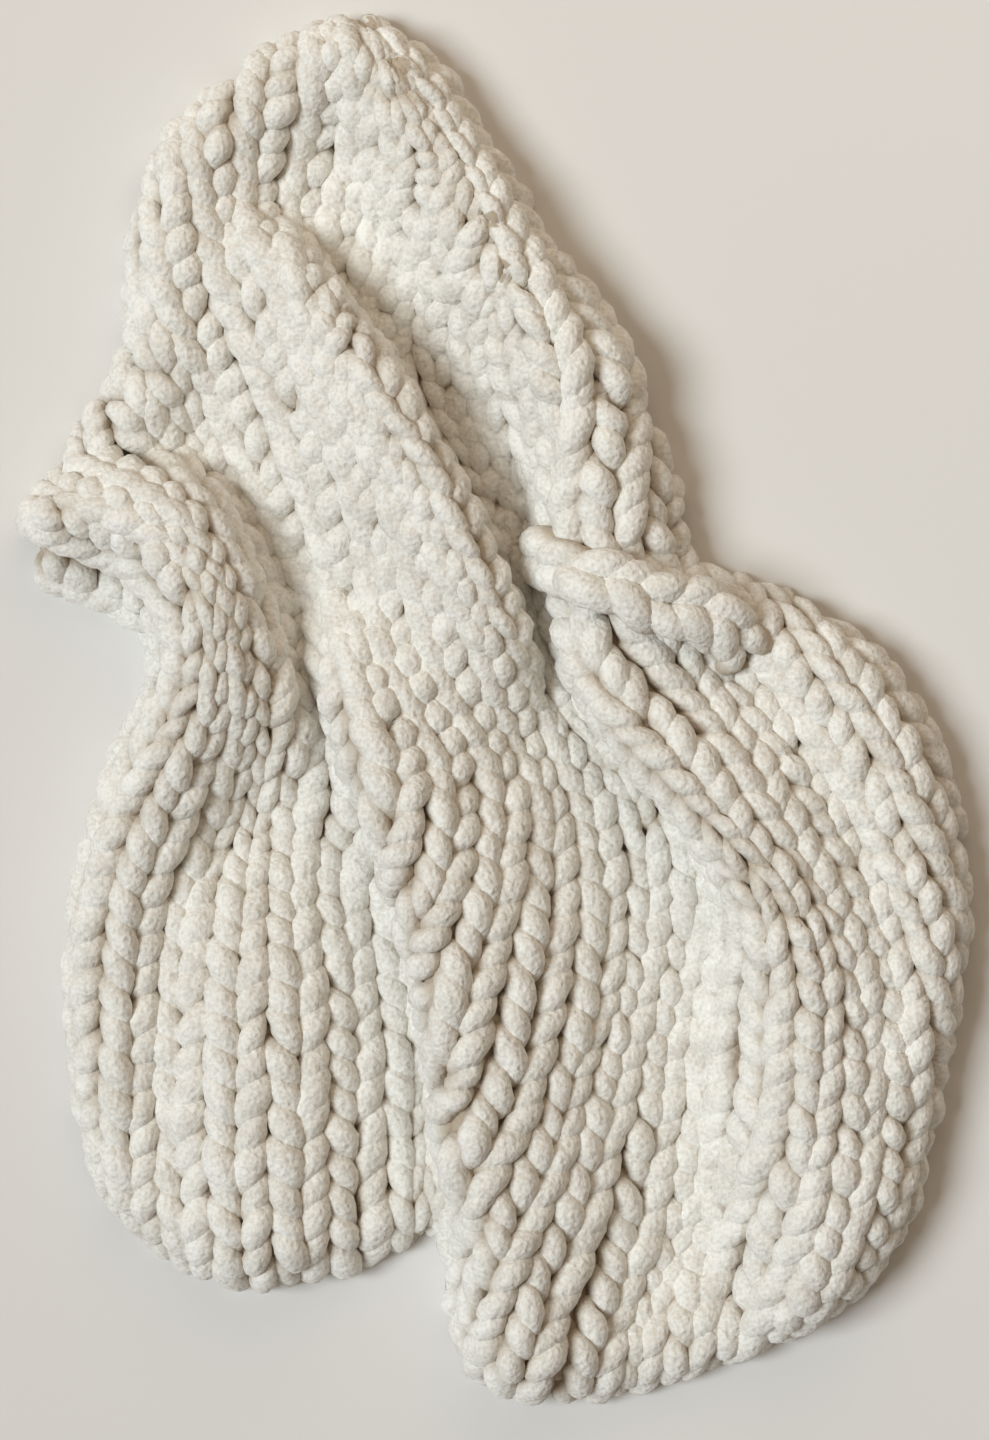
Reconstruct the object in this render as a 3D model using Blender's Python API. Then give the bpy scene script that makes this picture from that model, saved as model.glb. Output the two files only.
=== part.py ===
"""A hand-knitted blanket of thick chenille yarn, lying loosely in folds, as one sheet.

The blanket lies on its underside with its hem towards -Y. Plan positions in the tables are counted in steps of
STEP from the top left corner, x to the right and y towards the hem.
"""

import bpy
import numpy as np
from mathutils import Vector
from mathutils.geometry import delaunay_2d_cdt

for old in list(bpy.data.objects):
    bpy.data.objects.remove(old, do_unlink=True)

STEP = 0.00075  # metres for one step of the plan
THICK = 0.020  # thickness of the knitted cloth
ROLL = 0.030  # radius with which the cloth turns down to the floor along its edge
MIDDLE = 0.010  # height of the middle of the cloth where it lies flat
HEM_RISE = 0.026  # least height of the middle of the cloth just inside its edge
SOFT = 0.0095  # how far a crease is softened by the thickness of the yarn
CELL = 0.005  # spacing of the grid on which the folds are added up
BLEND = 3.0  # how sharply the higher of two folds wins
FACET = 0.0165  # spacing of the points of the solid

# The edge of the blanket, clockwise from the left end of the hem.
EDGES = {
    "left": [(140, 1252), (100, 1210), (80, 1165), (66, 1100), (58, 1020), (60, 930), (75, 850), (100, 775),
             (130, 712), (146, 665), (143, 632), (118, 612), (80, 602), (45, 590), (22, 560), (15, 520), (22, 490),
             (48, 465), (62, 430), (85, 395), (112, 365), (122, 320), (121, 250), (133, 190), (160, 130), (200, 85)],
    "top": [(200, 85), (245, 50), (290, 26), (340, 10), (378, 18), (405, 36), (425, 50)],
    "right": [(425, 50), (452, 95), (480, 140), (512, 185), (540, 235), (565, 265), (595, 305), (625, 345),
              (648, 395), (668, 445), (685, 495), (698, 545), (715, 566), (760, 576), (805, 592), (835, 616),
              (885, 645), (920, 690), (945, 730), (962, 780), (970, 860), (976, 930), (970, 980), (955, 1050),
              (940, 1110), (925, 1190), (905, 1240)],
    "hem": [(905, 1240), (872, 1287), (840, 1317), (800, 1340), (750, 1363), (700, 1383), (650, 1397), (600, 1406),
            (550, 1411), (500, 1402), (470, 1380), (450, 1345), (449, 1290), (440, 1244), (400, 1256), (350, 1277),
            (300, 1290), (250, 1296), (205, 1287), (172, 1274), (140, 1252)],
}

# Each fold is a crest line. The columns are x, y, the rise in millimetres, how far the fold reaches to the
# right and to the left of somebody who walks down the table, in steps, and its lean: how far the crest hangs
# over to that walker's left for each unit that it rises.
FOLDS = {
    "arm": [(-30, 540, 60, 110, 60, 0), (35, 522, 66, 90, 60, 0), (95, 512, 74, 75, 70, 0), (150, 538, 80, 60, 90, 0),
            (186, 600, 82, 70, 100, 0), (190, 670, 76, 105, 95, 0), (165, 745, 64, 110, 100, 0),
            (130, 825, 50, 110, 95, 0), (108, 910, 42, 120, 90, 0), (102, 1010, 38, 130, 90, 0),
            (112, 1120, 34, 130, 90, 0), (140, 1230, 30, 130, 80, 0)],
    "arm_flank": [(95, 478, 10, 40, 30, 0.2), (142, 486, 50, 50, 34, 0.4), (188, 526, 68, 55, 34, 0.55),
                  (216, 596, 70, 60, 36, 0.6), (233, 664, 64, 66, 38, 0.6), (252, 726, 48, 76, 42, 0.5),
                  (282, 796, 0, 80, 46, 0.3)],
    "left_lobe": [(230, 850, 0, 150, 130, 0), (240, 930, 30, 160, 150, 0), (248, 1030, 44, 170, 175, 0),
                  (255, 1150, 48, 170, 185, 0), (258, 1250, 46, 170, 180, 0), (258, 1360, 40, 170, 160, 0)],
    "centre": [(330, 596, 0, 40, 50, -0.2), (357, 648, 50, 40, 80, -0.4), (388, 713, 74, 42, 130, -0.5),
               (424, 795, 84, 46, 170, -0.5), (458, 890, 86, 50, 190, -0.5), (486, 1000, 86, 54, 195, -0.5),
               (502, 1110, 82, 58, 185, -0.5), (508, 1220, 78, 62, 175, -0.45), (508, 1320, 70, 90, 170, -0.2),
               (512, 1440, 60, 110, 170, 0)],
    "diagonal": [(222, 185, 0, 110, 40, 0.1), (250, 232, 34, 120, 36, 0.3), (276, 283, 60, 140, 34, 0.5),
                 (305, 335, 70, 160, 34, 0.55), (348, 400, 78, 175, 35, 0.55), (382, 465, 80, 175, 36, 0.55),
                 (418, 530, 80, 155, 36, 0.55), (455, 600, 74, 130, 36, 0.5), (490, 662, 54, 105, 38, 0.4),
                 (525, 735, 0, 90, 46, 0.2)],
    "edge_band": [(320, -40, 40, 90, 150, 0), (358, 25, 44, 90, 150, 0), (415, 118, 48, 95, 150, 0),
                  (470, 215, 52, 100, 150, 0), (525, 310, 56, 96, 150, 0), (568, 400, 60, 80, 150, 0),
                  (592, 480, 62, 64, 150, -0.2), (600, 560, 50, 56, 150, -0.2), (600, 620, 0, 60, 100, 0)],
    "right_lobe": [(572, 566, 0, 34, 60, -0.2), (594, 608, 54, 36, 80, -0.5), (630, 662, 72, 38, 110, -0.6),
                   (690, 732, 80, 42, 135, -0.6), (750, 808, 82, 48, 150, -0.5), (786, 898, 82, 60, 160, -0.3),
                   (796, 990, 78, 84, 180, -0.15), (798, 1090, 74, 100, 190, -0.1), (806, 1190, 68, 105, 190, -0.1),
                   (812, 1290, 60, 105, 180, 0), (815, 1400, 50, 110, 160, 0)],
    "right_shoulder": [(745, 600, 26, 50, 80, 0), (800, 665, 46, 60, 120, 0), (862, 760, 52, 56, 130, 0),
                       (905, 870, 52, 56, 130, 0), (918, 990, 48, 56, 130, 0), (905, 1100, 44, 56, 130, 0),
                       (885, 1200, 40, 50, 130, 0)],
    "rope": [(560, 540, 0, 30, 24, 0), (590, 564, 56, 30, 24, 0.2), (625, 592, 70, 30, 24, 0.3),
             (675, 608, 72, 30, 24, 0.3), (722, 624, 58, 30, 24, 0.2), (750, 640, 0, 30, 24, 0)],
    "top_rim": [(395, 62, 20, 130, 60, 0), (335, 48, 42, 130, 80, 0), (262, 78, 44, 130, 100, 0),
                (205, 135, 44, 130, 110, 0), (168, 210, 44, 130, 120, 0), (158, 285, 44, 120, 110, 0),
                (150, 360, 42, 120, 90, 0), (95, 425, 34, 110, 70, 0), (40, 500, 0, 100, 60, 0)],
    "lower_hem": [(590, 1330, 0, 60, 90, 0), (650, 1375, 26, 70, 110, 0), (720, 1362, 26, 70, 110, 0),
                  (790, 1325, 0, 60, 90, 0)],
}


def smooth_line(rows, parts=12):
    """A smooth line through the rows of a table."""
    p = np.array(rows, float)
    p = np.vstack([2 * p[0] - p[1], p, 2 * p[-1] - p[-2]])
    t = np.linspace(0, 1, parts, endpoint=False)[:, None]
    line = []
    for a, b, c, d in zip(p, p[1:], p[2:], p[3:]):
        line.append(0.5 * (2 * b + (c - a) * t + (2 * a - 5 * b + 4 * c - d) * t**2 + (3 * b - a - 3 * c + d) * t**3))
    return np.vstack(line + [p[-2][None]])


def nearest(q, line, closed=False):
    """For each point q, the row of the line nearest to it, how far off it is, on which side, and which way is left."""
    ends = np.roll(line, -1, axis=0) if closed else line[1:]
    starts = line if closed else line[:-1]
    best = np.full(len(q), np.inf)
    row = np.zeros((len(q), line.shape[1]))
    side = np.zeros(len(q))
    left = np.zeros((len(q), 2))
    for a, b in zip(starts, ends):
        along = b[:2] - a[:2]
        rel = q - a[:2]
        t = np.clip(rel @ along / (along @ along), 0, 1)
        gap = np.hypot(*(rel - t[:, None] * along).T)
        won = gap < best
        best[won] = gap[won]
        row[won] = a + t[won, None] * (b - a)
        side[won] = (along[0] * rel[:, 1] - along[1] * rel[:, 0])[won]
        left[won] = np.array([-along[1], along[0]]) / np.hypot(*along)
    return row, best, side, left


def blurred(grid, cells):
    """The grid softened by a bell curve this many cells wide."""
    reach = int(np.ceil(3 * cells))
    bell = np.exp(-0.5 * (np.arange(-reach, reach + 1) / cells) ** 2)
    bell /= bell.sum()
    for axis in (0, 1):
        padded = np.pad(grid, [(reach, reach) if k == axis else (0, 0) for k in (0, 1)], mode="edge")
        grid = np.apply_along_axis(np.convolve, axis, padded, bell, "valid")
    return grid


# The folds are added up on a grid, in metres, with y turned so that it runs away from the hem.
WIDE, LONG = 989 * STEP, 1440 * STEP
MARGIN = 0.08
grid_x = np.arange(-MARGIN, WIDE + MARGIN, CELL)
grid_y = np.arange(-MARGIN, LONG + MARGIN, CELL)
mesh_x, mesh_y = np.meshgrid(grid_x, grid_y, indexing="ij")
plan = np.stack([mesh_x.ravel(), mesh_y.ravel()], 1)
total = np.zeros(len(plan))
pull = np.zeros((len(plan), 2))
for rows in FOLDS.values():
    crest = smooth_line(rows)
    crest = crest * (STEP, -STEP, 0.001, STEP, STEP, 1) + (0, LONG, 0, 0, 0, 0)
    row, gap, side, left = nearest(plan, crest)
    reach = np.where(side < 0, row[:, 3], row[:, 4])
    rise = np.maximum(row[:, 2], 0) * np.cos(np.clip(gap / reach, 0, 1) * np.pi / 2) ** 2
    total += rise**BLEND
    pull += (row[:, 5] * rise ** (BLEND + 1))[:, None] * left
pull /= np.maximum(total, 1e-12)[:, None]
relief = [blurred(MIDDLE + total.reshape(mesh_x.shape) ** (1 / BLEND), SOFT / CELL)]
relief += [blurred(pull[:, k].reshape(mesh_x.shape), 1.5 * SOFT / CELL) for k in (0, 1)]

outline = np.vstack([smooth_line(rows, 6)[:-1] for rows in EDGES.values()])
outline = np.column_stack([outline[:, 0] * STEP, LONG - outline[:, 1] * STEP])


def inset(loop, by):
    """The loop moved inwards by this distance, without the points where it would cross itself."""
    ahead = np.roll(loop, -1, axis=0) - np.roll(loop, 1, axis=0)
    inward = np.column_stack([ahead[:, 1], -ahead[:, 0]]) / np.hypot(*ahead.T)[:, None]
    moved = loop + by * inward
    gap = nearest(moved, loop, True)[1]
    return moved[gap > 0.97 * abs(by)]


def sampled(grid, p):
    """What a grid holds at plan points, taken between its nearest points."""
    fx = np.clip((p[:, 0] + MARGIN) / CELL, 0, len(grid_x) - 1.001)
    fy = np.clip((p[:, 1] + MARGIN) / CELL, 0, len(grid_y) - 1.001)
    i, j = fx.astype(int), fy.astype(int)
    u, v = fx - i, fy - j
    low = grid[i, j] * (1 - v) + grid[i, j + 1] * v
    high = grid[i + 1, j] * (1 - v) + grid[i + 1, j + 1] * v
    return low * (1 - u) + high * u


silhouette = inset(outline, THICK / 2)


def middle(p):
    """The middle of the cloth, in metres, for points of the plan laid out flat as far as its turned-down edge."""
    near, gap, side, left = nearest(p, silhouette, True)
    inside = np.where(side < 0, gap, -gap)
    inward = (p - near) / np.maximum(gap, 1e-9)[:, None] * np.sign(inside)[:, None]
    a = np.clip(ROLL - inside, 0, ROLL * np.pi / 2)
    flat = p + inward * (a - ROLL * np.sin(a / ROLL))[:, None]
    z = sampled(relief[0], flat)
    close = np.clip((0.060 - inside) / 0.045, 0, 1)
    z = z + np.maximum(HEM_RISE - z, 0) * close**2 * (3 - 2 * close)
    fade = np.clip((inside - 0.010) / 0.060, 0, 1)
    flat = flat + fade[:, None] * np.column_stack([sampled(relief[1], flat), sampled(relief[2], flat)])
    return np.column_stack([flat, z * np.cos(a / ROLL)])


def normals(p):
    e = 0.003
    across = middle(p + (e, 0)) - middle(p - (e, 0))
    along = middle(p + (0, e)) - middle(p - (0, e))
    n = np.cross(across, along)
    return n / np.linalg.norm(n, axis=1)[:, None]


if __name__ == "__main__":
    spread = inset(silhouette, -0.98 * ROLL * (np.pi / 2 - 1))
    length = np.r_[0, np.cumsum(np.hypot(*(np.roll(spread, -1, axis=0) - spread).T))]
    loop_t = np.linspace(0, length[-1], int(length[-1] / FACET), endpoint=False)
    ring = np.vstack([spread, spread[:1]])
    rim = np.column_stack([np.interp(loop_t, length, ring[:, k]) for k in (0, 1)])
    hx = np.arange(-MARGIN, WIDE + MARGIN, FACET)
    hy = np.arange(-MARGIN, LONG + MARGIN, FACET * 0.866)
    lattice = np.array([(x + FACET / 2 * (k % 2), y) for k, y in enumerate(hy) for x in hx])
    row, gap, side, left = nearest(lattice, rim, True)
    lattice = lattice[(side < 0) & (gap > FACET * 0.6)]
    flat = np.vstack([rim, lattice])
    count = len(rim)
    verts, edges, faces, *more = delaunay_2d_cdt([Vector(p) for p in flat], [], [list(range(count))], 1, 1e-6)
    flat = np.array([tuple(v) for v in verts])
    mid = middle(flat)
    out = normals(flat)
    top = mid + THICK / 2 * out
    low = mid - THICK / 2 * out
    top[:count, 2] = 0
    low[:count, 2] = 0
    top[:, 2] = np.maximum(top[:, 2], 0)
    low[:, 2] = np.maximum(low[:, 2], 0)
    points = np.vstack([top, low])
    box = (points.max(axis=0) + points.min(axis=0)) / 2
    points -= (box[0], box[1], points[:, 2].min())
    n = len(flat)
    tris = [tuple(f) for f in faces]
    if np.cross(*(flat[list(tris[0])[1:]] - flat[tris[0][0]])) < 0:
        tris = [t[::-1] for t in tris]
    shell = tris + [tuple(k + n for k in t[::-1]) for t in tris]
    uses = {}
    for t in tris:
        for a, b in zip(t, t[1:] + t[:1]):
            uses[(a, b)] = True
    for a, b in uses:
        if (b, a) not in uses:
            shell.append((b, a, a + n))
            shell.append((b, a + n, b + n))

    mesh = bpy.data.meshes.new("blanket")
    mesh.from_pydata([tuple(p) for p in points], [], shell)
    mesh.validate()
    blanket = bpy.data.objects.new("blanket", mesh)
    bpy.context.scene.collection.objects.link(blanket)

    yarn = bpy.data.materials.new("cream_chenille")
    yarn.use_nodes = True
    shader = yarn.node_tree.nodes["Principled BSDF"]
    shader.inputs["Base Color"].default_value = (0.84, 0.79, 0.70, 1)
    shader.inputs["Roughness"].default_value = 0.95
    mesh.materials.append(yarn)
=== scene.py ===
import bpy
import numpy as np
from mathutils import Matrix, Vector, kdtree, noise
from mathutils.geometry import delaunay_2d_cdt


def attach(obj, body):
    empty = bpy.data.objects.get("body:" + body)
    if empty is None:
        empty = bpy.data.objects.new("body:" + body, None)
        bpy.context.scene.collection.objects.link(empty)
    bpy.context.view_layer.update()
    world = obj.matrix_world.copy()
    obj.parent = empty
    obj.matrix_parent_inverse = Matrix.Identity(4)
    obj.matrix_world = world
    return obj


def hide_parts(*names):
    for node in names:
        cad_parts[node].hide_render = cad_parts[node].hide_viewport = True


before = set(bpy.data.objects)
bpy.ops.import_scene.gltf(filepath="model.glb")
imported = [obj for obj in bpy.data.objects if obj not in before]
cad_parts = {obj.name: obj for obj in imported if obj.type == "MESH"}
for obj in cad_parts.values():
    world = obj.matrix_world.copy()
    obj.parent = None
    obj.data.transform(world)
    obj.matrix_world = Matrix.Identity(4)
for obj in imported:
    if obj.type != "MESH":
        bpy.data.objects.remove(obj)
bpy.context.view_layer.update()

# The folds of the blanket.
# The real one is a single panel of hand-knitted chenille that keeps the soft folds it falls into.
# Plan positions are counted in steps of STEP from the top left corner, x to the right and y towards the hem.
STEP = 0.00075  # metres for one step of the plan
THICK = 0.020  # thickness of the knitted cloth
ROLL = 0.030  # radius with which the cloth turns down to the floor along its edge
MIDDLE = 0.010  # height of the middle of the cloth where it lies flat
HEM_RISE = 0.026  # least height of the middle of the cloth just inside its edge
SOFT = 0.0095  # how far a crease is softened by the thickness of the yarn
CELL = 0.005  # spacing of the grid on which the folds are added up
BLEND = 3.0  # how sharply the higher of two folds wins

# The edge of the blanket, clockwise from the left end of the hem.
EDGES = {
    "left": [(140, 1252), (100, 1210), (80, 1165), (66, 1100), (58, 1020), (60, 930), (75, 850),
             (100, 775), (130, 712), (146, 665), (143, 632), (118, 612), (80, 602), (45, 590),
             (22, 560), (15, 520), (22, 490), (48, 465), (62, 430), (85, 395), (112, 365), (122, 320),
             (121, 250), (133, 190), (160, 130), (200, 85)],
    "top": [(200, 85), (245, 50), (290, 26), (340, 10), (378, 18), (405, 36), (425, 50)],
    "right": [(425, 50), (452, 95), (480, 140), (512, 185), (540, 235), (565, 265), (595, 305),
              (625, 345), (648, 395), (668, 445), (685, 495), (698, 545), (715, 566), (760, 576),
              (805, 592), (835, 616), (885, 645), (920, 690), (945, 730), (962, 780), (970, 860),
              (976, 930), (970, 980), (955, 1050), (940, 1110), (925, 1190), (905, 1240)],
    "hem": [(905, 1240), (872, 1287), (840, 1317), (800, 1340), (750, 1363), (700, 1383), (650, 1397),
            (600, 1406), (550, 1411), (500, 1402), (470, 1380), (450, 1345), (449, 1290), (440, 1244),
            (400, 1256), (350, 1277), (300, 1290), (250, 1296), (205, 1287), (172, 1274), (140, 1252)],
}

# Each fold is a crest line. The columns are x, y, the rise in millimetres, how far the fold reaches to the right
# and to the left of the line, in steps, and its lean: how far it hangs over to the left for each unit of rise.
FOLDS = {
    "arm": [(-30, 540, 60, 110, 60, 0), (35, 522, 66, 90, 60, 0), (95, 512, 74, 75, 70, 0),
            (150, 538, 80, 60, 90, 0), (186, 600, 82, 70, 100, 0), (190, 670, 76, 105, 95, 0),
            (165, 745, 64, 110, 100, 0), (130, 825, 50, 110, 95, 0), (108, 910, 42, 120, 90, 0),
            (102, 1010, 38, 130, 90, 0), (112, 1120, 34, 130, 90, 0), (140, 1230, 30, 130, 80, 0)],
    "arm_flank": [(95, 478, 10, 40, 30, 0.2), (142, 486, 50, 50, 34, 0.4), (188, 526, 68, 55, 34, 0.55),
                  (216, 596, 70, 60, 36, 0.6), (233, 664, 64, 66, 38, 0.6), (252, 726, 48, 76, 42, 0.5),
                  (282, 796, 0, 80, 46, 0.3)],
    "left_lobe": [(230, 850, 0, 150, 130, 0), (240, 930, 30, 160, 150, 0), (248, 1030, 44, 170, 175, 0),
                  (255, 1150, 48, 170, 185, 0), (258, 1250, 46, 170, 180, 0),
                  (258, 1360, 40, 170, 160, 0)],
    "centre": [(330, 596, 0, 40, 50, -0.2), (357, 648, 50, 40, 80, -0.4), (388, 713, 74, 42, 130, -0.5),
               (424, 795, 84, 46, 170, -0.5), (458, 890, 86, 50, 190, -0.5),
               (486, 1000, 86, 54, 195, -0.5), (502, 1110, 82, 58, 185, -0.5),
               (508, 1220, 78, 62, 175, -0.45), (508, 1320, 70, 90, 170, -0.2),
               (512, 1440, 60, 110, 170, 0)],
    "diagonal": [(222, 185, 0, 110, 40, 0.1), (250, 232, 34, 120, 36, 0.3),
                 (276, 283, 60, 140, 34, 0.5), (305, 335, 70, 160, 34, 0.55),
                 (348, 400, 78, 175, 35, 0.55), (382, 465, 80, 175, 36, 0.55),
                 (418, 530, 80, 155, 36, 0.55), (455, 600, 74, 130, 36, 0.5),
                 (490, 662, 54, 105, 38, 0.4), (525, 735, 0, 90, 46, 0.2)],
    "edge_band": [(320, -40, 40, 90, 150, 0), (358, 25, 44, 90, 150, 0), (415, 118, 48, 95, 150, 0),
                  (470, 215, 52, 100, 150, 0), (525, 310, 56, 96, 150, 0), (568, 400, 60, 80, 150, 0),
                  (592, 480, 62, 64, 150, -0.2), (600, 560, 50, 56, 150, -0.2),
                  (600, 620, 0, 60, 100, 0)],
    "right_lobe": [(572, 566, 0, 34, 60, -0.2), (594, 608, 54, 36, 80, -0.5),
                   (630, 662, 72, 38, 110, -0.6), (690, 732, 80, 42, 135, -0.6),
                   (750, 808, 82, 48, 150, -0.5), (786, 898, 82, 60, 160, -0.3),
                   (796, 990, 78, 84, 180, -0.15), (798, 1090, 74, 100, 190, -0.1),
                   (806, 1190, 68, 105, 190, -0.1), (812, 1290, 60, 105, 180, 0),
                   (815, 1400, 50, 110, 160, 0)],
    "right_shoulder": [(745, 600, 26, 50, 80, 0), (800, 665, 46, 60, 120, 0),
                       (862, 760, 52, 56, 130, 0), (905, 870, 52, 56, 130, 0),
                       (918, 990, 48, 56, 130, 0), (905, 1100, 44, 56, 130, 0),
                       (885, 1200, 40, 50, 130, 0)],
    "rope": [(560, 540, 0, 30, 24, 0), (590, 564, 56, 30, 24, 0.2), (625, 592, 70, 30, 24, 0.3),
             (675, 608, 72, 30, 24, 0.3), (722, 624, 58, 30, 24, 0.2), (750, 640, 0, 30, 24, 0)],
    "top_rim": [(395, 62, 20, 130, 60, 0), (335, 48, 42, 130, 80, 0), (262, 78, 44, 130, 100, 0),
                (205, 135, 44, 130, 110, 0), (168, 210, 44, 130, 120, 0), (158, 285, 44, 120, 110, 0),
                (150, 360, 42, 120, 90, 0), (95, 425, 34, 110, 70, 0), (40, 500, 0, 100, 60, 0)],
    "lower_hem": [(590, 1330, 0, 60, 90, 0), (650, 1375, 26, 70, 110, 0), (720, 1362, 26, 70, 110, 0),
                  (790, 1325, 0, 60, 90, 0)],
}


def smooth_line(rows, parts=12):
    """A smooth line through the rows of a table."""
    p = np.array(rows, float)
    p = np.vstack([2 * p[0] - p[1], p, 2 * p[-1] - p[-2]])
    t = np.linspace(0, 1, parts, endpoint=False)[:, None]
    line = []
    for a, b, c, d in zip(p, p[1:], p[2:], p[3:]):
        bend = (2 * a - 5 * b + 4 * c - d) * t**2
        line.append(0.5 * (2 * b + (c - a) * t + bend + (3 * b - a - 3 * c + d) * t**3))
    return np.vstack(line + [p[-2][None]])


def nearest(q, line, closed=False):
    """For each point q, the nearest row of the line, how far off it is, on which side, and which way is left."""
    ends = np.roll(line, -1, axis=0) if closed else line[1:]
    starts = line if closed else line[:-1]
    best = np.full(len(q), np.inf)
    row = np.zeros((len(q), line.shape[1]))
    side = np.zeros(len(q))
    left = np.zeros((len(q), 2))
    for a, b in zip(starts, ends):
        along = b[:2] - a[:2]
        rel = q - a[:2]
        t = np.clip(rel @ along / (along @ along), 0, 1)
        gap = np.hypot(*(rel - t[:, None] * along).T)
        won = gap < best
        best[won] = gap[won]
        row[won] = a + t[won, None] * (b - a)
        side[won] = (along[0] * rel[:, 1] - along[1] * rel[:, 0])[won]
        left[won] = np.array([-along[1], along[0]]) / np.hypot(*along)
    return row, best, side, left


def blurred(grid, cells):
    """The grid softened by a bell curve this many cells wide."""
    reach = int(np.ceil(3 * cells))
    bell = np.exp(-0.5 * (np.arange(-reach, reach + 1) / cells) ** 2)
    bell /= bell.sum()
    for axis in (0, 1):
        padded = np.pad(grid, [(reach, reach) if k == axis else (0, 0) for k in (0, 1)], mode="edge")
        grid = np.apply_along_axis(np.convolve, axis, padded, bell, "valid")
    return grid


# The folds are added up on a grid, in metres, with y turned so that it runs away from the hem.
WIDE, LONG = 989 * STEP, 1440 * STEP
MARGIN = 0.08
grid_x = np.arange(-MARGIN, WIDE + MARGIN, CELL)
grid_y = np.arange(-MARGIN, LONG + MARGIN, CELL)
mesh_x, mesh_y = np.meshgrid(grid_x, grid_y, indexing="ij")
plan = np.stack([mesh_x.ravel(), mesh_y.ravel()], 1)
total = np.zeros(len(plan))
pull = np.zeros((len(plan), 2))
for rows in FOLDS.values():
    crest = smooth_line(rows)
    crest = crest * (STEP, -STEP, 0.001, STEP, STEP, 1) + (0, LONG, 0, 0, 0, 0)
    row, gap, side, left = nearest(plan, crest)
    reach = np.where(side < 0, row[:, 3], row[:, 4])
    rise = np.maximum(row[:, 2], 0) * np.cos(np.clip(gap / reach, 0, 1) * np.pi / 2) ** 2
    total += rise**BLEND
    pull += (row[:, 5] * rise ** (BLEND + 1))[:, None] * left
pull /= np.maximum(total, 1e-12)[:, None]
relief = [blurred(MIDDLE + total.reshape(mesh_x.shape) ** (1 / BLEND), SOFT / CELL)]
relief += [blurred(pull[:, k].reshape(mesh_x.shape), 1.5 * SOFT / CELL) for k in (0, 1)]

outline = np.vstack([smooth_line(rows, 6)[:-1] for rows in EDGES.values()])
outline = np.column_stack([outline[:, 0] * STEP, LONG - outline[:, 1] * STEP])


def inset(loop, by):
    """The loop moved inwards by this distance, without the points where it would cross itself."""
    ahead = np.roll(loop, -1, axis=0) - np.roll(loop, 1, axis=0)
    inward = np.column_stack([ahead[:, 1], -ahead[:, 0]]) / np.hypot(*ahead.T)[:, None]
    moved = loop + by * inward
    gap = nearest(moved, loop, True)[1]
    return moved[gap > 0.97 * abs(by)]


def sampled(grid, p):
    """What a grid holds at plan points, taken between its nearest points."""
    fx = np.clip((p[:, 0] + MARGIN) / CELL, 0, len(grid_x) - 1.001)
    fy = np.clip((p[:, 1] + MARGIN) / CELL, 0, len(grid_y) - 1.001)
    i, j = fx.astype(int), fy.astype(int)
    u, v = fx - i, fy - j
    low = grid[i, j] * (1 - v) + grid[i, j + 1] * v
    high = grid[i + 1, j] * (1 - v) + grid[i + 1, j + 1] * v
    return low * (1 - u) + high * u


silhouette = inset(outline, THICK / 2)


def middle(p):
    """The middle of the cloth, in metres, for plan points laid out flat as far as its turned-down edge."""
    near, gap, side, left = nearest(p, silhouette, True)
    inside = np.where(side < 0, gap, -gap)
    inward = (p - near) / np.maximum(gap, 1e-9)[:, None] * np.sign(inside)[:, None]
    past = np.maximum(ROLL - inside, 0)
    a = np.minimum(past, ROLL * np.pi / 2)
    flat = p + inward * (past - ROLL * np.sin(a / ROLL) + 0.8 * (past - a))[:, None]
    z = sampled(relief[0], flat)
    close = np.clip((0.060 - inside) / 0.045, 0, 1)
    z = z + np.maximum(HEM_RISE - z, 0) * close**2 * (3 - 2 * close)
    fade = np.clip((inside - 0.010) / 0.060, 0, 1)
    flat = flat + fade[:, None] * np.column_stack([sampled(relief[1], flat), sampled(relief[2], flat)])
    return np.column_stack([flat, z * np.cos(a / ROLL)])


def normals(p):
    """Which way the face of the cloth looks, for the same points as middle."""
    e = 0.003
    across = middle(p + (e, 0)) - middle(p - (e, 0))
    along = middle(p + (0, e)) - middle(p - (0, e))
    n = np.cross(across, along)
    return n / np.linalg.norm(n, axis=1)[:, None]


CENTRE = (outline.max(axis=0) + outline.min(axis=0)) / 2


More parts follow.
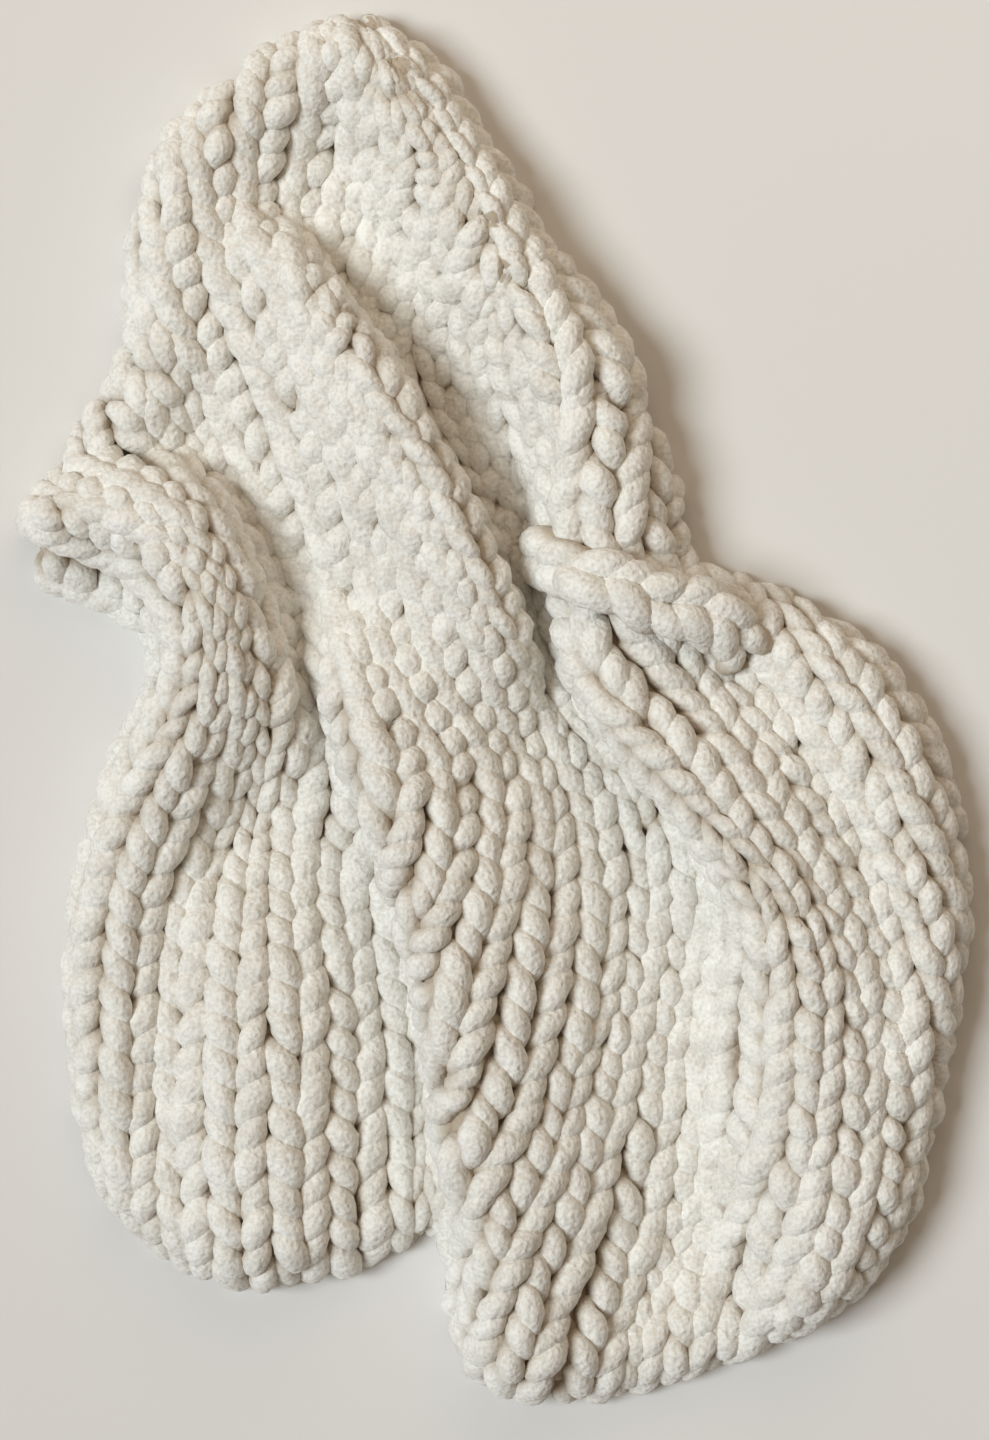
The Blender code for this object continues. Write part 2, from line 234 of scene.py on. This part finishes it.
# The lie of the stitches.
# The blanket is worked in stocking stitch from the hem upwards, so that its columns of stitches run along
# its folds. Each row below is one column, counted from the left edge: how many rows up from the cast-on edge
# it starts, and then its points from there upwards.
WALE = 0.040  # width of a stitch
COURSE = 0.024  # height of a stitch
COLUMNS = {
    1: [2.5, (76, 1190), (62, 1120), (56, 1050), (54, 980), (60, 900), (80, 815), (110, 745),
        (140, 690), (152, 650), (146, 616), (122, 598), (82, 582), (28, 575)],
    2: [1.9, (108, 1222), (85, 1130), (77, 1050), (78, 980), (86, 890), (115, 810), (155, 745),
        (185, 690), (192, 640), (184, 596), (158, 562), (112, 540), (60, 524), (18, 516)],
    3: [1.2, (150, 1262), (132, 1180), (128, 1090), (130, 1000), (136, 910), (158, 830), (190, 765),
        (211, 710), (217, 660), (213, 610), (194, 562), (160, 528), (105, 506), (38, 490)],
    4: [0.7, (195, 1288), (181, 1190), (180, 1090), (182, 1000), (187, 910), (205, 845), (226, 790),
        (240, 735), (243, 685), (237, 635), (224, 585), (203, 540), (172, 508), (128, 480), (60, 452)],
    5: [0.7, (248, 1292), (240, 1190), (238, 1090), (238, 1000), (240, 920), (247, 860), (258, 800),
        (266, 745), (267, 690), (258, 640), (244, 590), (224, 542), (198, 500), (168, 456), (140, 412),
        (116, 365), (96, 310)],
    6: [0.7, (302, 1290), (298, 1190), (297, 1090), (295, 1000), (291, 920), (290, 850), (294, 790),
        (298, 730), (298, 680), (291, 640), (278, 595), (256, 548), (230, 495), (200, 440), (165, 375),
        (135, 310), (118, 250)],
    7: [0.9, (355, 1274), (352, 1190), (350, 1100), (347, 1010), (340, 925), (334, 860), (332, 800)],
    8: [1.3, (412, 1252), (410, 1160), (407, 1070), (402, 985), (393, 910), (396, 850), (400, 800),
        (390, 745), (370, 700), (352, 650), (345, 600), (336, 550), (320, 490), (300, 430), (276, 370),
        (252, 310), (226, 245), (208, 180), (204, 120), (212, 80)],
    10: [8.9, (445, 1100), (452, 1060), (459, 1027), (467, 985), (482, 940), (489, 885), (497, 840),
         (500, 800), (493, 765), (476, 732), (457, 695), (442, 645), (427, 590), (408, 525), (380, 457),
         (350, 395), (322, 345), (303, 300), (295, 255), (296, 215), (298, 175), (312, 125), (321, 80),
         (337, 32)],
    11: [4.8, (460, 1220), (480, 1180), (497, 1140), (504, 1105), (517, 1070), (527, 1030), (532, 990),
         (543, 935), (547, 880), (549, 840), (543, 795), (527, 760), (507, 727)],
    12: [1.2, (465, 1365), (475, 1340), (490, 1290), (507, 1240), (528, 1190), (542, 1160), (554, 1115),
         (572, 1060), (590, 1020), (600, 975), (602, 930), (598, 885), (596, 845), (585, 805),
         (573, 765), (555, 728), (530, 688), (509, 640), (493, 600), (472, 550), (447, 500), (420, 450),
         (392, 405), (368, 362), (355, 325), (360, 290), (372, 255), (381, 225), (392, 190), (405, 150),
         (414, 128), (428, 105)],
    13: [0.7, (515, 1392), (530, 1340), (548, 1290), (565, 1237), (578, 1195), (597, 1150), (606, 1105),
         (618, 1055), (632, 1010), (639, 975), (646, 930), (649, 885), (645, 840), (635, 800),
         (618, 768), (585, 738), (556, 708), (535, 672), (517, 630), (500, 585), (480, 535), (457, 487),
         (434, 447), (412, 405), (396, 370), (390, 340), (398, 300), (408, 262), (427, 220), (440, 190),
         (456, 165)],
    14: [0.7, (585, 1397), (600, 1340), (622, 1285), (634, 1233), (642, 1190), (651, 1150), (660, 1105),
         (667, 1055), (675, 1000), (688, 950), (698, 915), (698, 870), (690, 828), (665, 795),
         (625, 763), (588, 733), (561, 703), (543, 668), (528, 630), (514, 590), (503, 550), (490, 500),
         (470, 450), (447, 402), (431, 365), (427, 340), (430, 310), (443, 275), (458, 240),
         (476, 212)],
    15: [0.7, (635, 1390), (645, 1340), (660, 1290), (676, 1245), (691, 1200), (706, 1150), (714, 1110),
         (717, 1060), (722, 1000), (738, 945), (740, 905), (725, 868), (692, 820), (655, 784),
         (615, 748), (583, 720), (560, 690), (545, 655), (533, 615), (526, 575), (522, 530), (515, 480),
         (500, 430), (483, 385), (472, 352), (480, 320), (497, 290), (517, 262)],
    16: [0.7, (686, 1374), (696, 1315), (712, 1262), (731, 1215), (746, 1178), (761, 1135), (766, 1085),
         (769, 1027), (768, 985), (762, 948)],
    17: [0.8, (732, 1360), (752, 1320), (771, 1272), (786, 1228), (803, 1175), (809, 1110), (813, 1050),
         (816, 998), (808, 950), (790, 903), (752, 850), (706, 795), (662, 745), (620, 705), (596, 672),
         (584, 640), (580, 610), (571, 572), (563, 530), (560, 490), (562, 450), (565, 410), (560, 370),
         (545, 330), (520, 280), (490, 225), (460, 165), (430, 110), (395, 55), (365, 12)],
    18: [0.9, (790, 1338), (815, 1282), (835, 1230), (850, 1175), (855, 1110), (857, 1050), (855, 1000),
         (842, 945), (812, 885), (775, 820), (738, 755), (700, 698), (668, 655), (643, 615), (625, 575),
         (615, 530), (612, 480), (618, 435), (620, 400), (607, 360), (586, 312), (556, 262), (526, 210),
         (496, 155), (462, 100), (425, 42)],
    19: [1.2, (845, 1302), (870, 1242), (893, 1180), (902, 1110), (903, 1050), (898, 990), (884, 940),
         (856, 875), (825, 815), (790, 755), (750, 702), (715, 655), (690, 612), (668, 570), (662, 520),
         (666, 470), (672, 430), (668, 390), (645, 338), (615, 292), (585, 250), (560, 205)],
    20: [2.6, (893, 1257), (918, 1200), (938, 1140), (947, 1080), (945, 1010), (930, 945), (905, 875),
         (872, 812), (838, 745), (800, 690), (768, 645), (746, 600), (730, 560), (720, 510), (718, 460),
         (716, 410), (700, 360)],
    22: [6.3, (1010, 1150), (1012, 1060), (1005, 960), (985, 860), (955, 780), (915, 710), (870, 650),
         (835, 600), (805, 550), (780, 490)],
}
# Along the upper right the edge of the blanket is turned over the face as a border, from this line outwards.
# The columns from FIRST_OF_BORDER on belong to it, and the others run out of sight beneath it.
BORDER = [
    (338, 8), (362, 45), (382, 78), (402, 105), (422, 135), (437, 165), (450, 195), (463, 225),
    (477, 252), (490, 280), (503, 305), (518, 335), (530, 370), (540, 400),
]
FIRST_OF_BORDER = 17


def inside_edge(p):
    """How far each plan point lies inside the edge of the blanket."""
    near, gap, side, left = nearest(p, silhouette, True)
    return np.where(side < 0, gap, -gap)


def under(p):
    """The plan points whose cloth, hanging over, shows at p from above."""
    q = p.copy()
    for _ in range(12):
        fade = np.clip((inside_edge(q) - 0.010) / 0.060, 0, 1)[:, None]
        q += 0.6 * (p - q - fade * np.column_stack([sampled(relief[1], q), sampled(relief[2], q)]))
    return q


def kernel(a, b):
    """How much each of the points b pulls at each of the points a in a thin sheet that bends freely."""
    d2 = ((a[:, None] - b[None]) ** 2).sum(2)
    return 0.5 * d2 * np.log(np.maximum(d2, 1e-12))


knots = []
places = []
for wale, rows in COLUMNS.items():
    column = smooth_line(rows[1:], 10)
    column = under(np.column_stack([column[:, 0] * STEP, LONG - column[:, 1] * STEP]))
    steps = np.linalg.norm(np.diff(middle(column), axis=0), axis=1)
    courses = np.r_[0, np.cumsum(steps)] / COURSE + rows[0]
    counts = np.arange(rows[0], courses[-1], 2.5)
    knots += [(wale * WALE, count * COURSE) for count in counts]
    places.append(np.column_stack([np.interp(counts, courses, column[:, k]) for k in (0, 1)]))
knots = np.array(knots)
places = np.vstack(places)
ones = np.column_stack([np.ones(len(knots)), knots])
bending = kernel(knots, knots) + 1.5e-4 * np.eye(len(knots))
system = np.block([[bending, ones], [ones.T, np.zeros((3, 3))]])
weights = np.linalg.solve(system, np.vstack([places, np.zeros((3, 2))]))

# The cloth laid flat, X across the columns and Y along them, is carried onto the folds by this fine grid.
FINE_X, FINE_Y = WALE / 6, COURSE / 4
flat_x = np.arange(-1.0 * WALE, 24.5 * WALE, FINE_X)
flat_y = np.arange(-4.0 * COURSE, 57.0 * COURSE, FINE_Y)
fx, fy = np.meshgrid(flat_x, flat_y, indexing="ij")
at = np.column_stack([fx.ravel(), fy.ravel()])
laid = kernel(at, knots) @ weights[:-3] + np.column_stack([np.ones(len(at)), at]) @ weights[-3:]
depth_in = inside_edge(laid).reshape(fx.shape)
carried = middle(laid).reshape(fx.shape + (3,)) - (CENTRE[0], CENTRE[1], 0)
along_x = np.gradient(carried, axis=0)
along_y = np.gradient(carried, axis=1)
facing = np.cross(along_x, along_y)
facing /= np.maximum(np.linalg.norm(facing, axis=2), 1e-12)[:, :, None]
width = np.linalg.norm(along_x, axis=2) / FINE_X
height = np.linalg.norm(along_y, axis=2) / FINE_Y
border = smooth_line(BORDER, 6)
border = np.column_stack([border[:, 0] * STEP, LONG - border[:, 1] * STEP])


def from_grid(grid, x, y):
    """What the fine grid holds at flat points, taken between its nearest points."""
    gx = np.clip((x - flat_x[0]) / FINE_X, 0, len(flat_x) - 1.001)
    gy = np.clip((y - flat_y[0]) / FINE_Y, 0, len(flat_y) - 1.001)
    i, j = gx.astype(int), gy.astype(int)
    s, t = gx - i, gy - j
    if grid.ndim == 3:
        s, t = s[:, None], t[:, None]
    low = grid[i, j] * (1 - t) + grid[i, j + 1] * t
    high = grid[i + 1, j] * (1 - t) + grid[i + 1, j + 1] * t
    return low * (1 - s) + high * s


def draped(points):
    """Flat points, with Z out of the cloth's face, carried onto the folds and kept above the floor."""
    there = from_grid(carried, points[:, 0], points[:, 1])
    out = from_grid(facing, points[:, 0], points[:, 1])
    out /= np.maximum(np.linalg.norm(out, axis=1), 1e-9)[:, None]
    there = there + points[:, 2:] * out
    there[:, 2] = np.maximum(there[:, 2], 0.0006)
    return there


# The yarn.
# Thick chenille with a dense, short, matt pile in warm cream; where the yarn lies deep in the cloth its colour
# is darkened as painted shade.
# It is all one yarn, so that one material serves every row.
yarn = bpy.data.materials.new("cream_chenille")
yarn.use_nodes = True
nodes = yarn.node_tree.nodes
links = yarn.node_tree.links
shader = nodes["Principled BSDF"]
shader.inputs["Roughness"].default_value = 0.95
shader.inputs["Specular IOR Level"].default_value = 0.1
shader.inputs["Sheen Weight"].default_value = 0.35
shader.inputs["Sheen Roughness"].default_value = 0.6
place = nodes.new("ShaderNodeTexCoord")
pile = nodes.new("ShaderNodeTexNoise")
pile.inputs["Scale"].default_value = 330
pile.inputs["Detail"].default_value = 1
pile.inputs["Roughness"].default_value = 0.5
links.new(place.outputs["Object"], pile.inputs["Vector"])
tufts = nodes.new("ShaderNodeTexNoise")
tufts.inputs["Scale"].default_value = 210
tufts.inputs["Detail"].default_value = 0
links.new(place.outputs["Object"], tufts.inputs["Vector"])
patches = nodes.new("ShaderNodeTexNoise")
patches.inputs["Scale"].default_value = 45
patches.inputs["Detail"].default_value = 2
links.new(place.outputs["Object"], patches.inputs["Vector"])
tone = nodes.new("ShaderNodeValToRGB")
tone.color_ramp.elements[0].position = 0.36
tone.color_ramp.elements[0].color = (0.74, 0.715, 0.655, 1)
tone.color_ramp.elements[1].position = 0.60
tone.color_ramp.elements[1].color = (0.93, 0.925, 0.88, 1)
mixed = nodes.new("ShaderNodeMath")
mixed.operation = "MULTIPLY_ADD"
mixed.inputs[1].default_value = 0.55
links.new(pile.outputs["Fac"], mixed.inputs[0])
shared = nodes.new("ShaderNodeMath")
shared.operation = "MULTIPLY"
shared.inputs[1].default_value = 0.45
links.new(patches.outputs["Fac"], shared.inputs[0])
links.new(shared.outputs[0], mixed.inputs[2])
links.new(mixed.outputs[0], tone.inputs["Fac"])
# Painted shade: the lower a point of yarn lies out of the middle of the cloth, the more its colour is mixed
# towards a warm brown, for the shade between and behind the stitches.
rise = nodes.new("ShaderNodeAttribute")
rise.attribute_name = "rise"
raised = nodes.new("ShaderNodeMapRange")
raised.interpolation_type = "SMOOTHSTEP"
raised.inputs["From Min"].default_value = 0.0
raised.inputs["From Max"].default_value = 13.0
links.new(rise.outputs["Fac"], raised.inputs["Value"])
painted_shade_mix = nodes.new("ShaderNodeMix")
painted_shade_mix.data_type = "RGBA"
painted_shade_mix.inputs[6].default_value = (0.50, 0.42, 0.32, 1)
links.new(raised.outputs["Result"], painted_shade_mix.inputs["Factor"])
links.new(tone.outputs["Color"], painted_shade_mix.inputs[7])
links.new(painted_shade_mix.outputs[2], shader.inputs["Base Color"])
relief_bump = nodes.new("ShaderNodeBump")
relief_bump.inputs["Strength"].default_value = 0.45
relief_bump.inputs["Distance"].default_value = 0.0022
links.new(pile.outputs["Fac"], relief_bump.inputs["Height"])
tuft_bump = nodes.new("ShaderNodeBump")
tuft_bump.inputs["Strength"].default_value = 0.6
tuft_bump.inputs["Distance"].default_value = 0.0025
links.new(tufts.outputs["Fac"], tuft_bump.inputs["Height"])
links.new(relief_bump.outputs["Normal"], tuft_bump.inputs["Normal"])
links.new(tuft_bump.outputs["Normal"], shader.inputs["Normal"])


# The rows of stitches.
# Each row is one continuous length of yarn pulled in loops through the row below it. On the face only the two
# legs of each loop show, as a V, and the heads and feet of the loops lie behind. A band holds several rows.
# One loop. The columns are across and along, in stitches from the foot of the V, then the height in millimetres
# out of the middle of the cloth, and the share of the yarn's radius.
LOOP = [
    (-0.50, -0.55, -7.0, 0.66), (-0.30, -0.60, -7.0, 0.66), (-0.17, -0.55, -6.0, 0.66),
    (-0.11, -0.38, -1.0, 0.76), (-0.14, -0.08, 3.4, 1.00), (-0.24, 0.32, 4.6, 1.18),
    (-0.34, 0.72, 2.8, 1.02), (-0.38, 1.04, -2.6, 0.78), (-0.28, 1.24, -7.0, 0.68),
    (0.00, 1.34, -8.0, 0.66), (0.28, 1.24, -7.0, 0.68), (0.38, 1.04, -2.6, 0.78),
    (0.34, 0.72, 2.8, 1.02), (0.24, 0.32, 4.6, 1.18), (0.14, -0.08, 3.4, 1.00),
    (0.11, -0.38, -1.0, 0.76), (0.17, -0.55, -6.0, 0.66), (0.30, -0.60, -7.0, 0.66),
]
YARN = 0.0102  # radius of the yarn
BANDS = [(0, 6), (7, 13), (14, 20), (21, 27), (28, 34), (35, 42), (43, 52)]
LAST_WALE = 23
SWALLOWED = 0.36  # share of its width below which a stitch is lost in a fold
SQUEEZED = 0.10  # the same close to the border, where the columns crowd together
NEAR_BORDER = 0.04  # metres that count as close to the border
UNDER_BORDER = 0.018  # how far the other columns run on beneath the border
OVER_FACE = 0.005  # how far the border reaches in over the face
BORDER_LIFT = 0.007  # how far the border lies above the face
chance = np.random.default_rng(7)


def past_border(x, y):
    """How far outside the line of the border flat points show, which is 0 below the end of that line."""
    spots = from_grid(carried, x, y)[:, :2] + CENTRE
    row, gap, side, left = nearest(spots, border)
    return np.where(spots[:, 1] > border[-1, 1], np.sign(side) * gap, 0)


def kept(wale, course):
    """Whether a stitch shows: it lies on the blanket and on its side of the border, and no fold swallows it."""
    x, y = np.array([wale * WALE]), np.array([(course + 0.5) * COURSE])
    past = past_border(x, y)[0]
    narrow = SWALLOWED if past == 0 or abs(past) > NEAR_BORDER else SQUEEZED
    if from_grid(depth_in, x, y)[0] < -0.50 * ROLL or from_grid(width, x, y)[0] < narrow:
        return False
    return past > -OVER_FACE if wale >= FIRST_OF_BORDER else past < UNDER_BORDER


middle_of = carried.reshape(-1, 3)
facing_of = facing.reshape(-1, 3)
past = past_border(at[:, 0], at[:, 1])
in_border = at[:, 0] > (FIRST_OF_BORDER - 0.5) * WALE
shown = np.where(in_border, past > -0.006, past < 0.012)
on_cloth = np.flatnonzero((depth_in.ravel() > -ROLL) & (width.ravel() > 0.42) & shown)
tree = kdtree.KDTree(len(on_cloth))
for k in on_cloth:
    tree.insert(middle_of[k], k)
tree.balance()


def rise_of(spots):
    """How far each point stands out of the middle of the cloth, in millimetres."""
    close = np.array([tree.find(p)[1] for p in spots])
    return 1000 * ((spots - middle_of[close]) * facing_of[close]).sum(axis=1)


def add_yarn(curve, points):
    """One length of yarn through these points, each with its own share of the yarn's radius."""
    spline = curve.splines.new("NURBS")
    spline.points.add(len(points) - 1)
    spline.order_u = 4
    spline.use_endpoint_u = True
    for knot, (x, y, z, radius) in zip(spline.points, points):
        knot.co = (x, y, z, 1)
        knot.radius = radius


def new_curve():
    """An empty curve that holds lengths of yarn."""
    curve = bpy.data.curves.new("rows", "CURVE")
    curve.dimensions = "3D"
    curve.bevel_depth = YARN
    curve.bevel_resolution = 5
    curve.resolution_u = 2
    curve.use_fill_caps = True
    return curve


def finished(curve, name, rise_from=rise_of):
    """The lengths of yarn of a curve as one piece, with the uneven surface of chenille."""
    loose = bpy.data.objects.new("rows", curve)
    bpy.context.scene.collection.objects.link(loose)
    bpy.context.view_layer.update()
    mesh = bpy.data.meshes.new_from_object(loose.evaluated_get(bpy.context.evaluated_depsgraph_get()))
    bpy.data.objects.remove(loose)
    spots = np.empty(len(mesh.vertices) * 3)
    mesh.vertices.foreach_get("co", spots)
    spots = spots.reshape(-1, 3)
    out = np.empty(len(mesh.vertices) * 3)
    mesh.vertices.foreach_get("normal", out)
    out = out.reshape(-1, 3)
    lumps = np.array([
        0.0011 * noise.noise(Vector(p) * 80) + 0.0013 * noise.noise(Vector(p) * 180) for p in spots
    ])
    spots = spots + lumps[:, None] * out
    spots[:, 2] = np.maximum(spots[:, 2], 0.0006)
    mesh.vertices.foreach_set("co", spots.ravel())
    # Each point keeps its height out of the middle of the cloth, from which the yarn's colour gets its painted
    # shade.
    mesh.attributes.new("rise", "FLOAT", "POINT").data.foreach_set("value", rise_from(spots))
    mesh.polygons.foreach_set("use_smooth", [True] * len(mesh.polygons))
    mesh.update()
    mesh.materials.clear()
    mesh.materials.append(yarn)
    piece = bpy.data.objects.new(name, mesh)
    bpy.context.scene.collection.objects.link(piece)
    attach(piece, "root")
    return piece


def loop_points(stitch, course, loop):
    """The points of one loop on the flat cloth, with legs as uneven as in hand knitting."""
    sway = chance.normal(0, 1, (len(loop), 3)) * (0.022, 0.05, 0.5)
    legs = chance.normal(0, 1, (2, 4)) * (0.025, 0.08, 1.0, 0.07)
    points = []
    for (x, y, z, thick), (dx, dy, dz) in zip(loop, sway):
        leg_x, leg_y, leg_z, leg_thick = legs[int(x > 0)]
        points.append((
            (stitch + x + dx + leg_x) * WALE, (course + y + dy + leg_y) * COURSE,
            (z + dz + leg_z) * 0.001, thick * (1 + leg_thick),
        ))
    return points


share = np.minimum(width, np.maximum(1.15 * height, 0.80))
for first, last in BANDS:
    curve = new_curve()
    for course in range(first, last + 1):
        run = []
        for wale in range(0, LAST_WALE + 2):
            if wale <= LAST_WALE and kept(wale, course):
                run.append(wale)
                continue
            if run:
                points = []
                for stitch in run:
                    loop = LOOP[2:] if stitch == run[0] else LOOP
                    loop = loop[:-1] if stitch == run[-1] else loop
                    points += loop_points(stitch, course, loop)
                spots = np.array(points)
                over = past_border(spots[:, 0], spots[:, 1]) > 0
                spots[:, 2] += BORDER_LIFT * (over & (spots[:, 0] > (FIRST_OF_BORDER - 0.5) * WALE))
                spots[:, 3] *= np.clip(from_grid(share, spots[:, 0], spots[:, 1]), 0.56, 1.06)
                add_yarn(curve, np.column_stack([draped(spots[:, :3]), spots[:, 3]]))
                run = []
    finished(curve, f"rows_{first}_to_{last}")


# The end of the border.
# The last stitches of the border turn over the face of the blanket and lie on top of it as a short chain. They
# are knitted on with the rest, of the same yarn, and each grips the one before it.
CHAIN = [
    (548, 540), (572, 560), (600, 580), (628, 597), (655, 607), (685, 613), (712, 622), (735, 640), (748, 662),
]
CHAIN_LIFT = 0.015  # how far the chain lies above the face
chain = smooth_line(CHAIN, 8)
chain = under(np.column_stack([chain[:, 0] * STEP, LONG - chain[:, 1] * STEP]))
up = normals(chain)
chain = middle(chain) - (CENTRE[0], CENTRE[1], 0)
chain_length = np.r_[0, np.cumsum(np.linalg.norm(np.diff(chain, axis=0), axis=1))]
ahead = np.gradient(chain, axis=0)
ahead /= np.linalg.norm(ahead, axis=1)[:, None]
aside = np.cross(ahead, up)
curve = new_curve()
for link in range(int(chain_length[-1] / COURSE)):
    spots = np.array(loop_points(0, link + 0.5, LOOP[2:-1]))
    base, over, right = (
        np.column_stack([np.interp(spots[:, 1], chain_length, way[:, k]) for k in range(3)])
        for way in (chain, up, aside)
    )
    places = base + 1.05 * spots[:, :1] * right + (spots[:, 2:3] + CHAIN_LIFT) * over
    add_yarn(curve, np.column_stack([places, 1.1 * spots[:, 3]]))
finished(curve, "border_end", lambda spots: rise_of(spots) - 1000 * CHAIN_LIFT)


# The ground of the cloth.
# Behind the legs of the stitches the heads and feet of the loops close the knitting, so that no floor shows
# It is made as one thin sheet under the face, of the same yarn with its colour darkened as painted shade for the
# shade that falls behind the legs.
ground_yarn_painted_darker = yarn.copy()
ground_yarn_painted_darker.name = "cream_chenille_ground_painted_shade"
ramp = [node for node in ground_yarn_painted_darker.node_tree.nodes if node.bl_idname == "ShaderNodeValToRGB"][0].color_ramp
# Painted shade: the ground gets darker, browner colours than the yarn's.
ramp.elements[0].color = (0.58, 0.53, 0.45, 1)
ramp.elements[1].color = (0.80, 0.77, 0.70, 1)
GROUND_LOW, GROUND_HIGH = -0.0085, -0.0015
SPACING = 0.012
spread = inset(silhouette, -0.35 * ROLL)
length = np.r_[0, np.cumsum(np.hypot(*(np.roll(spread, -1, axis=0) - spread).T))]
ring = np.vstack([spread, spread[:1]])
stops = np.linspace(0, length[-1], int(length[-1] / SPACING), endpoint=False)
rim = np.column_stack([np.interp(stops, length, ring[:, k]) for k in (0, 1)])
lattice = np.array([
    (x + SPACING / 2 * (k % 2), y)
    for k, y in enumerate(np.arange(-MARGIN, LONG + MARGIN, SPACING * 0.866))
    for x in np.arange(-MARGIN, WIDE + MARGIN, SPACING)
])
near, gap, side, left = nearest(lattice, rim, True)
lattice = lattice[(side < 0) & (gap > SPACING * 0.6)]
flat = np.vstack([rim, lattice])
verts, edges, faces, *more = delaunay_2d_cdt([Vector(p) for p in flat], [], [list(range(len(rim)))], 1, 1e-6)
flat = np.array([tuple(v) for v in verts])
centre_line = middle(flat) - (CENTRE[0], CENTRE[1], 0)
out = normals(flat)
upper = centre_line + GROUND_HIGH * out
lower = centre_line + GROUND_LOW * out
upper[:, 2] = np.maximum(upper[:, 2], 0.0012)
lower[:, 2] = np.maximum(lower[:, 2], 0.0004)
count = len(flat)
tris = [tuple(f) for f in faces]
if np.cross(*(flat[list(tris[0])[1:]] - flat[tris[0][0]])) < 0:
    tris = [t[::-1] for t in tris]
shell = tris + [tuple(k + count for k in t[::-1]) for t in tris]
uses = {(a, b) for t in tris for a, b in zip(t, t[1:] + t[:1])}
for a, b in sorted(uses):
    if (b, a) not in uses:
        shell.append((b, a, a + count, b + count))
mesh = bpy.data.meshes.new("ground")
mesh.from_pydata([tuple(p) for p in np.vstack([upper, lower])], [], shell)
mesh.polygons.foreach_set("use_smooth", [True] * len(mesh.polygons))
mesh.materials.append(ground_yarn_painted_darker)
ground = bpy.data.objects.new("ground", mesh)
bpy.context.scene.collection.objects.link(ground)
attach(ground, "root")
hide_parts("blanket")


# The floor, the light and the camera.
# The blanket lies on a plain pale floor of matt paint. A wide soft light falls on it from the left, a weak warm
# one from beyond its top, and the surround is dim and warm.
bpy.ops.mesh.primitive_plane_add(size=12)
floor = bpy.context.object
floor.name = "floor"
paint = bpy.data.materials.new("floor_paint")
paint.use_nodes = True
paint.node_tree.nodes["Principled BSDF"].inputs["Base Color"].default_value = (0.80, 0.79, 0.77, 1)
paint.node_tree.nodes["Principled BSDF"].inputs["Roughness"].default_value = 0.9
floor.data.materials.append(paint)

key = bpy.data.objects.new("key", bpy.data.lights.new("key", "SUN"))
key.data.angle = 0.45
key.data.energy = 2.3
key.data.color = (0.90, 0.965, 1.0)
key.location = (-3.0, -0.2, 3.9)
key.rotation_euler = (Vector((0, 0, 0)) - key.location).to_track_quat("-Z", "Y").to_euler()
bpy.context.scene.collection.objects.link(key)
fill = bpy.data.objects.new("fill", bpy.data.lights.new("fill", "AREA"))
fill.data.size = 3.0
fill.data.energy = 28
fill.data.color = (1.0, 0.80, 0.58)
fill.location = (0.5, 2.4, 2.0)
fill.rotation_euler = (Vector((0, 0, 0)) - fill.location).to_track_quat("-Z", "Y").to_euler()
bpy.context.scene.collection.objects.link(fill)
world = bpy.data.worlds.new("studio")
world.use_nodes = True
world.node_tree.nodes["Background"].inputs["Color"].default_value = (1.0, 0.76, 0.55, 1)
world.node_tree.nodes["Background"].inputs["Strength"].default_value = 0.17
bpy.context.scene.world = world

camera = bpy.data.objects.new("camera", bpy.data.cameras.new("camera"))
HEIGHT = 3.0
camera.data.sensor_fit = "VERTICAL"
camera.data.sensor_height = 24
camera.data.lens = 24 * HEIGHT / LONG
camera.location = (WIDE / 2 - CENTRE[0], LONG / 2 - CENTRE[1], HEIGHT + 0.05)
bpy.context.scene.collection.objects.link(camera)
bpy.context.scene.camera = camera
bpy.context.scene.view_settings.view_transform = "Standard"
